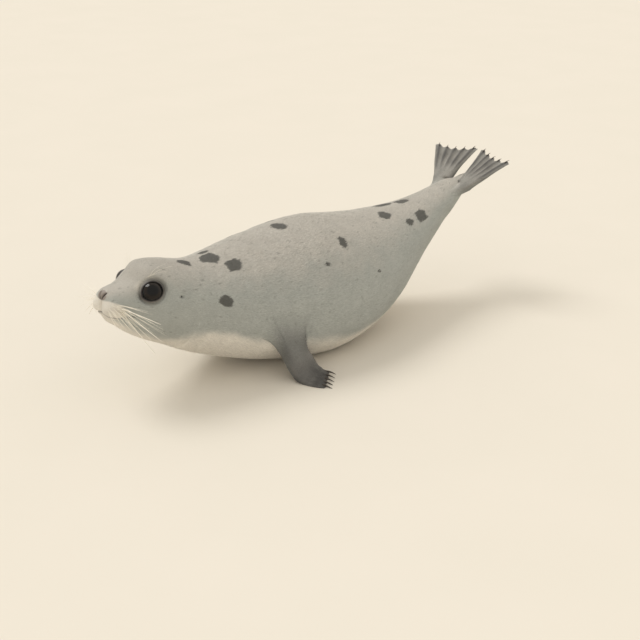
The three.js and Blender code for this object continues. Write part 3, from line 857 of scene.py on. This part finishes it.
def locks(name, tris, triUv, count, seed):
    # a lock is a low kite: sunk root, two sides, raised ridge, tip at the coat's depth
    rng = np.random.default_rng(seed)
    corner = skin["points"][tris]
    area = np.linalg.norm(np.cross(corner[:, 1] - corner[:, 0], corner[:, 2] - corner[:, 0]), axis=-1)
    each = (skin["long"] * skin["wide"])[tris].mean(1)
    weight = np.cumsum(area / each * (skin["bare"][tris].max(1) < coat["bareFrom"]))
    pick = np.searchsorted(weight, (np.arange(count) + rng.random(count)) / count * weight[-1])
    pick = np.minimum(pick, len(tris) - 1)
    a, b = rng.random((2, count))
    a, b = np.where(a + b > 1, 1 - a, a), np.where(a + b > 1, 1 - b, b)
    share = np.stack([1 - a - b, a, b], -1)

    def at(values):
        return (values[tris[pick]] * (share[..., None] if values.ndim == 2 else share)).sum(1)

    root, normal, lie = at(skin["points"]), unit(at(skin["normal"])), at(skin["lie"])
    lie = unit(lie - normal * dot(lie, normal))
    side = np.cross(normal, lie)
    stray = rng.normal(0, coat["stray"], count) + 0.10 * ripple(root, 45, 12)
    way = lie * np.cos(stray)[:, None] + side * np.sin(stray)[:, None]
    side = np.cross(normal, way)
    longer = (at(skin["long"]) * rng.uniform(0.75, 1.2, count))[:, None]
    wide = (at(skin["wide"]) * rng.uniform(0.75, 1.25, count))[:, None]
    lift = (at(skin["lift"]) * rng.uniform(0.45, 1.0, count))[:, None]
    points = np.stack([
        root - normal * coat["sunk"],
        root + way * longer * 0.40 + side * wide / 2 + normal * lift * 0.22,
        root + way * longer * 0.40 - side * wide / 2 + normal * lift * 0.22,
        root + way * longer * 0.50 + normal * (lift * 0.5 + wide * 0.12),
        root + way * longer + normal * lift,
    ], 1)
    points[..., 2] = np.maximum(points[..., 2], coat["clear"])
    shown = (root[:, 2] > coat["pressed"][0]) | (normal[:, 2] > coat["pressed"][1])
    uv = (triUv[pick] * share[..., None]).sum(1)
    low, high = triUv.reshape(-1, 2).min(0), triUv.reshape(-1, 2).max(0)
    uv = coat["margin"] + (1 - 2 * coat["margin"]) * (uv - low) / (high - low)
    patch = np.array([[0, -0.5], [-0.5, 0], [0.5, 0], [0, 0.05], [0, 0.5]]) * coat["patch"]
    uv = uv[:, None] + patch
    kite = np.array([[0, 3, 1], [0, 2, 3], [1, 3, 4], [3, 2, 4]])
    tone = rng.normal(0, 0.6, count)
    points, uv, tone = points[shown], uv[shown], tone[shown]
    faces = (kite + 5 * np.arange(len(points))[:, None, None]).reshape(-1, 3)
    values = {key: np.repeat(at(skin[key])[shown], 5, 0) for key in marksAndPaintedLight}
    values["tone"] = np.repeat(tone, 5)
    # tip runs from the sunk root to the lock's tip, for painted shade that darkens the roots
    values["tip"] = np.tile([-1, -0.1, -0.1, 0.2, 1.0], len(points))
    addPiece("coat_" + name, points.reshape(-1, 3), faces, furLocks, values, uv[:, kite].reshape(-1, 2))
    print("coat on", name + ":", len(faces), "triangles")


furLocks = furFinish("coat locks", True)
limbOf = skin["limb"][skin["tris"]].max(1)
away = skin["s"][skin["tris"]].mean(1)
for n, (name, (start, end, count)) in enumerate(coat["trunk"].items()):
    here = (limbOf == 0) & (away >= start) & (away < end)
    locks(name, skin["tris"][here], skin["triUv"][here], count, 100 + n)
for n, (name, (which, count)) in enumerate(coat["limbs"].items()):
    here = limbOf == which
    locks(name, skin["tris"][here], skin["triUv"][here], count, 200 + n)


# tubes, for whiskers, lid rims and claws
def tube(path, radii, sides=6, axis=(0, 0, 1), closed=False, flat=1.0):
    # a profile of so many sides carried along each path; a path is [n, steps, 3] and radii are [n, steps]
    ahead = unit(np.roll(path, -1, 1) - np.roll(path, 1, 1) if closed else np.gradient(path, axis=1))
    wide = unit(np.cross(ahead, axis))
    over = np.cross(wide, ahead)
    turn = np.arange(sides) * (2 * math.pi / sides)
    ring = wide[..., None, :] * np.cos(turn)[:, None] * flat + over[..., None, :] * np.sin(turn)[:, None]
    points = (path[..., None, :] + ring * radii[..., None, None]).reshape(-1, 3)
    n, steps = path.shape[:2]
    index = np.arange(n * steps * sides).reshape(n, steps, sides)
    a, b = (index, np.roll(index, -1, 1)) if closed else (index[:, :-1], index[:, 1:])
    tris = triangles(np.stack([b, np.roll(b, -1, 2), np.roll(a, -1, 2), a], -1).reshape(-1, 4))[0]
    if not closed:
        ends = len(points) + np.arange(2 * n).reshape(2, n, 1)
        points = np.concatenate([points, path[:, 0], path[:, -1]])
        for end, loop, way in zip(ends, (index[:, 0], index[:, -1]), (1, -1)):
            cap = np.stack(np.broadcast_arrays(end, loop, np.roll(loop, -1, 1)), -1).reshape(-1, 3)
            tris = np.concatenate([tris, cap[:, ::way]])
    return points, tris


def outwardFaces(points, tris):
    # a closed shape with its inside out is turned
    a, b, c = (points - points.mean(0))[tris.T]
    return tris if (a * np.cross(b, c)).sum() > 0 else tris[:, ::-1]


# eyes
def eyeFinish():
    ball = Finish("eye", Roughness=0.05, Coat_Weight=0.42, Coat_Roughness=0.02, Specular_IOR_Level=0.06)
    ring = ball.attribute("ring")
    fibres = ball.noise(ball.objectPlace(), 420, 3)
    iris = ball.mix(fibres, colour(16, 12, 9), colour(33, 24, 17))
    inner = ball.mix(ball.range(ring, 0.44, 0.52), colour(5, 5, 6), iris)
    outer = ball.mix(ball.range(ring, 0.72, 0.86), inner, colour(9, 9, 10))
    return ball.end(Base_Color=outer)


def buildEye(side):
    # a ball about its line of sight, with the cornea standing out of it
    centre, looks, front, up = eyeFrame(side)
    rings, turns = eye["rings"], eye["turns"]
    f = np.linspace(0, math.pi, rings + 2)[1:-1]
    polar, turn = np.meshgrid(f, np.arange(turns) * (2 * math.pi / turns), indexing="ij")
    radius = eye["radius"] + eye["corneaRise"] * (1 - smooth(polar, 0.10, 0.72))
    around = front * np.cos(turn)[..., None] + up * np.sin(turn)[..., None]
    shape = looks * np.cos(polar)[..., None] + around * np.sin(polar)[..., None]
    ball = centre + shape * radius[..., None]
    index = wrapped(1 + np.arange(rings * turns).reshape(rings, turns))
    top = np.stack([np.zeros(turns, int), index[0, 1:], index[0, :-1]], -1)
    bottom = np.stack([index[-1, :-1], index[-1, 1:], np.full(turns, 1 + rings * turns)], -1)
    tris = np.concatenate([triangles(gridCorners(index).reshape(-1, 4))[0], top, bottom])
    poles = [centre + looks * (eye["radius"] + eye["corneaRise"]), centre - looks * eye["radius"]]
    points = posed(np.concatenate([poles[:1], ball.reshape(-1, 3), poles[1:]]))
    ring = np.concatenate([[0], polar.reshape(-1), [math.pi]])
    word = "left" if side > 0 else "right"
    addPiece(f"{word}_eyeball", points, outwardFaces(points, tris), eyeMaterial, {"ring": ring},
             nodes=[f"{word}_eye"])


def lidRim(side):
    # a thin tube along the opening's edge, just over the ball
    long_, tall = eye["opening"]
    turn = np.arange(eye["rimSteps"]) * (2 * math.pi / eye["rimSteps"])
    a, b = long_ * np.cos(turn), tall * np.sin(turn)
    a = a * cornerStretch(a, b)
    path = fromEye(side, a, b, np.sqrt((eye["radius"] + 1.0) ** 2 - a * a - b * b))
    radii = 1.45 + 0.25 * np.sin(turn) + 0.12 * ripple(path, 14, 8)
    points, tris = tube(path[None], radii[None], sides=8, axis=eyeFrame(side)[1], closed=True)
    points = posed(points)
    return points, outwardFaces(points, tris)


def wetFinish():
    wet = Finish("lid rim", Coat_Weight=0.4, Coat_Roughness=0.15)
    grain = wet.noise(wet.objectPlace(), 500, 3)
    tint = wet.mix(grain, colour(26, 23, 23), colour(46, 41, 40))
    return wet.end(Base_Color=tint, Roughness=0.30 + grain * 0.15, Normal=wet.bump(grain, 0.3, 0.0005))


eyeMaterial = eyeFinish()
for side in (1, -1):
    buildEye(side)
rims = [lidRim(side) for side in (1, -1)]
rimPoints = np.concatenate([rims[0][0], rims[1][0]])
rimTris = np.concatenate([rims[0][1], rims[1][1] + len(rims[0][0])])
addPiece("lid_rims", rimPoints, rimTris, wetFinish())
print("eyes and lids")


# whiskers
whiskers = {
    # height over the spine, distances from the nose of the first and last, how many, shortest, longest, drop
    "rows": [
        [2, 9, 30, 5, 70, 105, 0.10], [-4, 7, 34, 6, 82, 124, -0.12], [-10, 7, 36, 7, 76, 130, -0.34],
        [-16, 9, 34, 6, 56, 114, -0.58], [-21, 12, 32, 5, 34, 82, -0.85],
    ],
    # distance from the nose, height, length, and for the bold ones the drop
    "bold": [[27, -4, 140, 0.0], [31, -10, 138, -0.42], [29, -15, 134, -0.86]],
    "brow": [[101, 66, 50], [107, 70, 58], [113, 72, 52], [95, 63, 34]],
    "thick": 0.52, "boldThick": 1.55, "browThick": 0.45,  # radii at the root
}
faceHere = np.where((skin["limb"] == 0) & (skin["s"] < 130) & (skin["points"][:, 0] > 2))[0]
stretched = skin["flow"][faceHere] / metre


def onFace(s, v):
    # the skin's point and its outward direction nearest to a distance and height, on the left
    far = (stretched[None, :, 1] - s[:, None]) ** 2 + (stretched[None, :, 2] - v[:, None]) ** 2
    nearest = faceHere[far.argmin(1)]
    return skin["points"][nearest], skin["normal"][nearest]


def hairPaths(s, v, longer, way, sag, steps=12):
    # a hair leaves along its way and bends by the sag, which grows with the square of the distance
    root, normal = onFace(s, v)
    way = unit(way + 0.35 * normal)
    f = np.linspace(0, 1, steps)[None, :, None]
    path = root[:, None] - normal[:, None] * 0.8
    return path + (way[:, None] * f + sag[:, None] * f**2) * longer[:, None, None]


def whiskerSet():
    # five rows on the pad, the bold ones and the brow hairs, with their radii
    rng = np.random.default_rng(7)
    hairs = []
    for high, first, last, count, short, long_, fall in whiskers["rows"]:
        f = np.linspace(0, 1, count)
        hairs.append([first + (last - first) * f, high + 1.5 * np.sin(3 * f), short + (long_ - short) * f,
                      np.full(count, fall), np.full(count, whiskers["thick"])])
    bold = np.array(whiskers["bold"], float).T
    boldest = -bold.shape[1]
    hairs.append([*bold, np.full(-boldest, whiskers["boldThick"])])
    s, v, longer, drop, thick = np.concatenate(hairs, 1)
    spread = rng.normal(0, 0.07, (len(s), 3))
    spread[boldest:] = 0
    way = np.stack([np.ones(len(s)), 0.30 - 0.010 * (34 - s), drop], -1) + spread
    sag = np.tile([-0.06, 0.14, -0.12], (len(s), 1))
    sag[boldest:] *= 0.5
    path = hairPaths(s, v, longer, unit(way), sag)
    f = np.linspace(0, 1, path.shape[1])[None]
    radii = thick[:, None] * (1 - 0.72 * f**1.3)
    s, v, longer = np.array(whiskers["brow"], float).T
    way = unit(np.array([[0.55, 0.25, 0.8]]) + 0.12 * rng.normal(size=(len(s), 3)))
    browPath = hairPaths(s, v, longer, way, np.tile([0.10, 0.35, -0.25], (len(s), 1)))
    browRadii = whiskers["browThick"] * (1 - 0.7 * f) * np.ones((len(s), 1))
    return np.concatenate([path, browPath]), np.concatenate([radii, browRadii])


def whiskerFinish():
    hair = Finish("whisker", Specular_IOR_Level=0.5, Coat_Weight=0.3)
    along = hair.noise(hair.objectPlace(), 260, 2)
    tint = hair.mix(along, colour(250, 246, 236), colour(226, 218, 200))
    return hair.end(Base_Color=tint, Roughness=0.34 + along * 0.1, Normal=hair.bump(along, 0.2, 0.0003))


paths, radii = whiskerSet()
hairMaterial = whiskerFinish()
for word, side in (("left", 1), ("right", -1)):
    points, tris = tube(paths * (side, 1, 1), radii)
    addPiece(f"{word}_whiskers", points, outwardFaces(points, tris), hairMaterial)
print("whiskers:", 2 * len(paths))


# claws
def clawPaths(limb, side, steps=14):
    # each claw leaves a digit's tip along the splayed digit and arches over, then down
    length, radius, shown, splay, lift = limb["claw"]
    q = (np.arange(digits) - (digits - 1) / 2) * digitStep
    root = digitReach(limb, q)
    ahead, wide, over = limbFrame(limb, root)
    centre, half = limbCentres(limb, root)[:2]
    tip = centre + wide * (q * half)[:, None]
    splayed = unit(ahead + wide * (splay * q)[:, None])
    f = np.linspace(0, 1, steps)
    arched = length * (0.12 * np.sin(math.pi * (0.15 + 0.85 * f)) - 0.1 * f)
    path = tip[:, None] + splayed[:, None] * (f * length - (length - shown))[None, :, None]
    path = path + over[:, None] * (lift + arched)[None, :, None]
    radii = np.maximum(radius * (1 - f) ** 0.6, 0.22)
    if limb["overFloor"]:
        path = pressed(path, flipperSoftness)
        path[..., 2] = np.maximum(path[..., 2], radii + 0.3)
    return path * (side, 1, 1), np.broadcast_to(radii, (digits, steps))


def clawFinish():
    horn = Finish("claw horn", Coat_Weight=0.25, Coat_Roughness=0.25)
    place = horn.objectPlace()
    grain = horn.noise(horn.scaled(place, (1, 0.25, 1)), 700, 3)
    cloud = horn.noise(place, 60, 2)
    tint = horn.mix(cloud, colour(38, 33, 30), colour(78, 69, 60))
    return horn.end(Base_Color=tint, Roughness=0.32 + grain * 0.2, Normal=horn.bump(grain, 0.3, 0.0004))


hornMaterial = clawFinish()
for word, side in (("left", 1), ("right", -1)):
    for limbName, limb in (("fore", fore), ("hind", hind)):
        path, radii = clawPaths(limb, side)
        points, tris = tube(path, radii, sides=12, flat=0.75)
        nodes = [f"{word}_{limbName}_claw_{n + 1}" for n in range(digits)]
        addPiece(f"{word}_{limbName}_claws", points, outwardFaces(points, tris), hornMaterial,
                 nodes=nodes)
print("claws")


# floor, light and camera
studio = {
    "floorHalf": 60.0, "world": 0.86, "worldTint": (1.0, 0.945, 0.855, 1),
    # the light comes from this way, and is so many degrees broad
    "sunFrom": (-0.62, -0.22, 0.95), "sunBreadth": 27, "sunStrength": 1.2, "sunTint": (1.0, 0.985, 0.95),
    "azimuth": 49.118, "elevation": 23.671, "distance": 3.2, "lens": 62.7,
    "target": (0.0695, 0.0325, 0.0681),
}


def floorFinish():
    ground = Finish("floor", Specular_IOR_Level=0.1)
    grain = ground.noise(ground.objectPlace(), 3, 3)
    tint = ground.mix(grain, colour(225, 220, 209), colour(229, 223, 213))
    return ground.end(Base_Color=tint, Roughness=0.9 + grain * 0.05)


half = studio["floorHalf"]
floorCorners = [(-half, -half, 0), (half, -half, 0), (half, half, 0), (-half, half, 0)]
floorMesh = bpy.data.meshes.new("floor")
floorMesh.from_pydata(floorCorners, [], [(0, 1, 2, 3)])
floor = bpy.data.objects.new("floor", floorMesh)
floorMesh.materials.append(floorFinish())
bpy.context.scene.collection.objects.link(floor)

world = bpy.data.worlds.new("studio")
bpy.context.scene.world = world
world.use_nodes = True
background = world.node_tree.nodes["Background"]
background.inputs["Color"].default_value = studio["worldTint"]
background.inputs["Strength"].default_value = studio["world"]
bpy.context.scene.view_settings.view_transform = "Standard"

lamp = bpy.data.lights.new("softLight0", "SUN")
lamp.angle = math.radians(studio["sunBreadth"])
lamp.energy, lamp.color = studio["sunStrength"], studio["sunTint"]
light = bpy.data.objects.new("softLight0", lamp)
light.rotation_euler = Vector(studio["sunFrom"]).to_track_quat("Z", "Y").to_euler()
bpy.context.scene.collection.objects.link(light)

azimuth, elevation = math.radians(studio["azimuth"]), math.radians(studio["elevation"])
level = math.cos(elevation)
back = Vector((math.sin(azimuth) * level, -math.cos(azimuth) * level, math.sin(elevation)))
camera = bpy.data.objects.new("camera", bpy.data.cameras.new("camera"))
camera.data.lens = studio["lens"]
camera.data.sensor_width = 36
camera.location = Vector(studio["target"]) + back * studio["distance"]
camera.rotation_euler = (-back).to_track_quat("-Z", "Y").to_euler()
bpy.context.scene.collection.objects.link(camera)
bpy.context.scene.camera = camera
